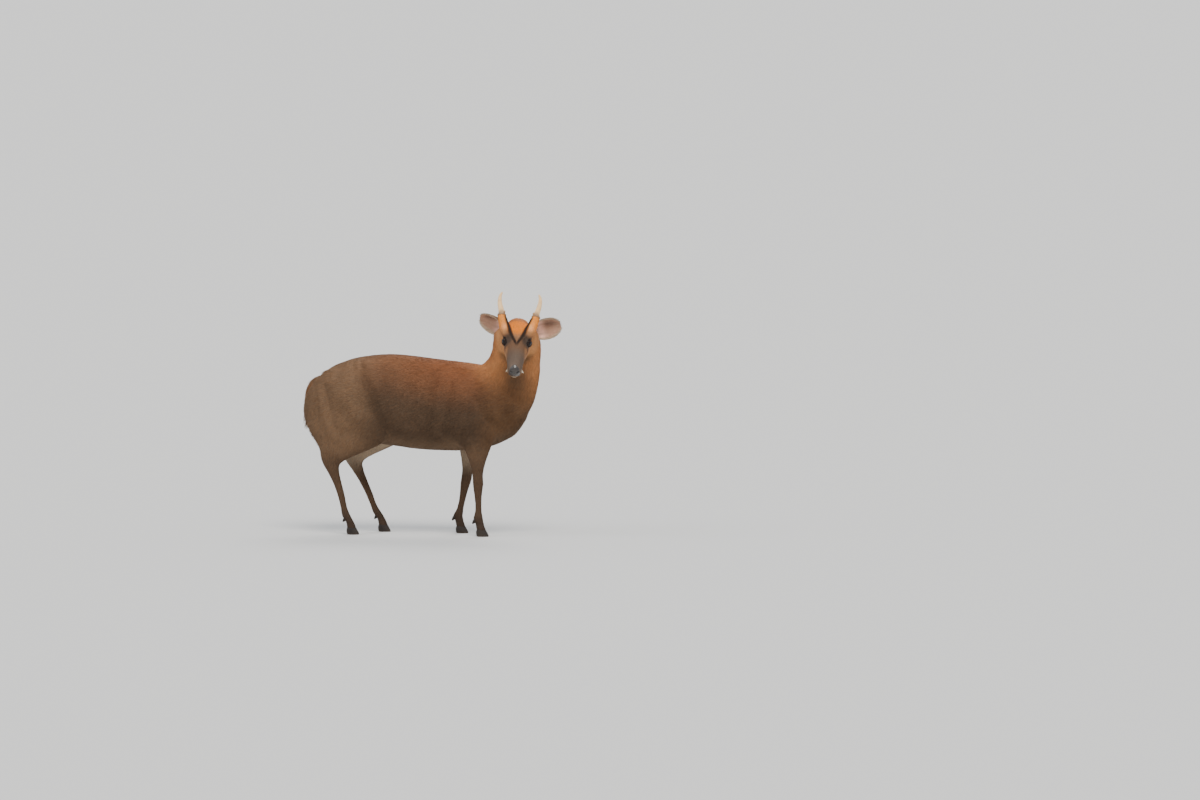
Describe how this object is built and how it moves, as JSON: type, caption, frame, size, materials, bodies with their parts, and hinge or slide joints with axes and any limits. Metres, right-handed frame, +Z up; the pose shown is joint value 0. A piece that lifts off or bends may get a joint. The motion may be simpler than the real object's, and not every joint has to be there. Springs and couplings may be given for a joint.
{
  "type": "muntjac",
  "caption": "Standing Reeves's muntjac buck with short hooked antlers on long furred stalks, head turned to look over its right side; a still life-size display model.",
  "frame": {"origin": "on the floor, below the middle of the whole model's box", "axes": "+X along the body towards the chest, +Y to the animal's left, +Z up; the head looks towards -Y"},
  "size_m": [0.7186, 0.2725, 0.6648],
  "materials": {
    "coat": "short sleek fur, rufous along the back, orange on neck and forehead",
    "ear": "thinly haired skin, pale inside the cup",
    "horn": "dark satin hoof horn",
    "antler": "smooth pale bone, browner at the burr",
    "eye": "dark wet gloss",
    "ivory": "polished tooth ivory"
  },
  "bodies": {
    "root": {"antler_left": "antler", "antler_right": "antler", "dewclaw_front_left_left": "horn", "dewclaw_front_left_right": "horn", "dewclaw_front_right_left": "horn", "dewclaw_front_right_right": "horn", "dewclaw_hind_left_left": "horn", "dewclaw_hind_left_right": "horn", "dewclaw_hind_right_left": "horn", "dewclaw_hind_right_right": "horn", "ear_left": "ear", "ear_right": "ear", "eye_left": "eye", "eye_right": "eye", "head": "coat", "hoof_front_left_left": "horn", "hoof_front_left_right": "horn", "hoof_front_right_left": "horn", "hoof_front_right_right": "horn", "hoof_hind_left_left": "horn", "hoof_hind_left_right": "horn", "hoof_hind_right_left": "horn", "hoof_hind_right_right": "horn", "leg_front_left": "coat", "leg_front_right": "coat", "leg_hind_left": "coat", "leg_hind_right": "coat", "neck": "coat", "tail": "coat", "torso": "coat", "tusk_left": "ivory", "tusk_right": "ivory"}
  },
  "joints": []
}
